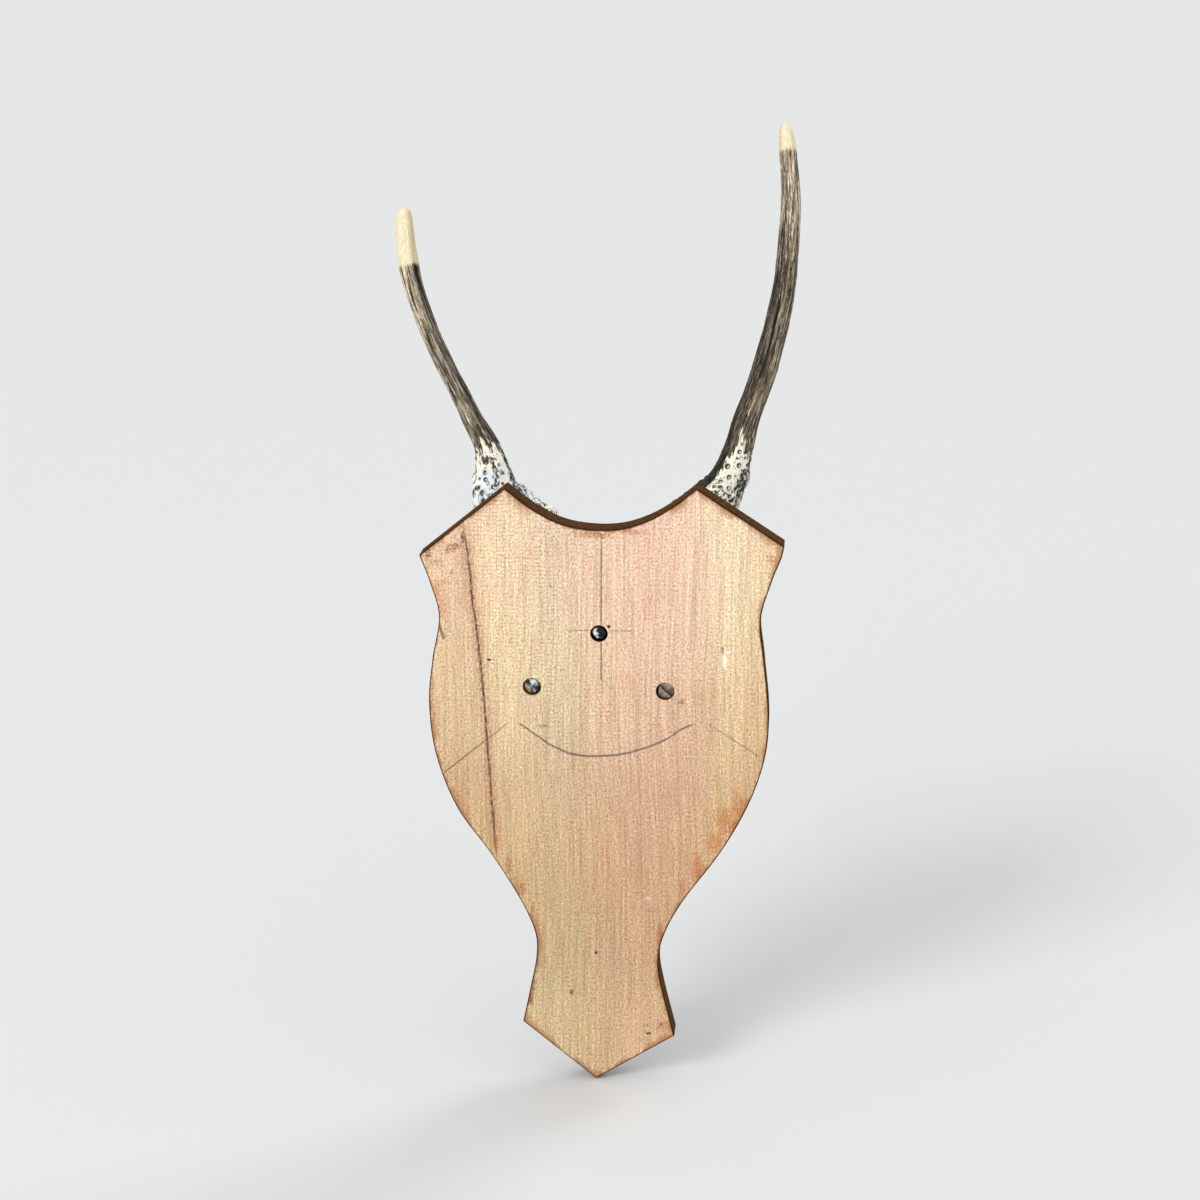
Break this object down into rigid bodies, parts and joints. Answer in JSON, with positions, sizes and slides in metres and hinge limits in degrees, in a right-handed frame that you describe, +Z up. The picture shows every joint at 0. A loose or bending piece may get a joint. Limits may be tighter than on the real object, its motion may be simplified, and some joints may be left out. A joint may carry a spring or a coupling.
{
  "type": "deer skull mount",
  "caption": "Sawn deer skull with two unbranched antlers, screwed from behind to a carved wooden shield plaque that hangs flat on a wall.",
  "frame": {"origin": "on the plaque's flat back face, on its centre line, about half way up the plaque", "axes": "+Y points out of the plaque's back, into the wall; the skull faces -Y; +Z points up towards the antler tips, with the nose downwards; +X is the deer's own left, the side of the shorter antler"},
  "size_m": [0.1957, 0.0944, 0.459],
  "materials": {
    "plaque_wood": "bare planed hardwood behind, dark brown stain and satin varnish on the edge and front",
    "skull_bone": "bleached dry bone, matte",
    "antler": "dark brown ribbed antler with polished ivory tip and bleached pearled base",
    "screw_steel": "worn steel, dull"
  },
  "bodies": {
    "root": {"plaque": "plaque_wood", "skull": "skull_bone", "antler_left": "antler", "antler_right": "antler", "screw_top": "screw_steel", "screw_left": "screw_steel", "screw_right": "screw_steel"}
  },
  "joints": []
}
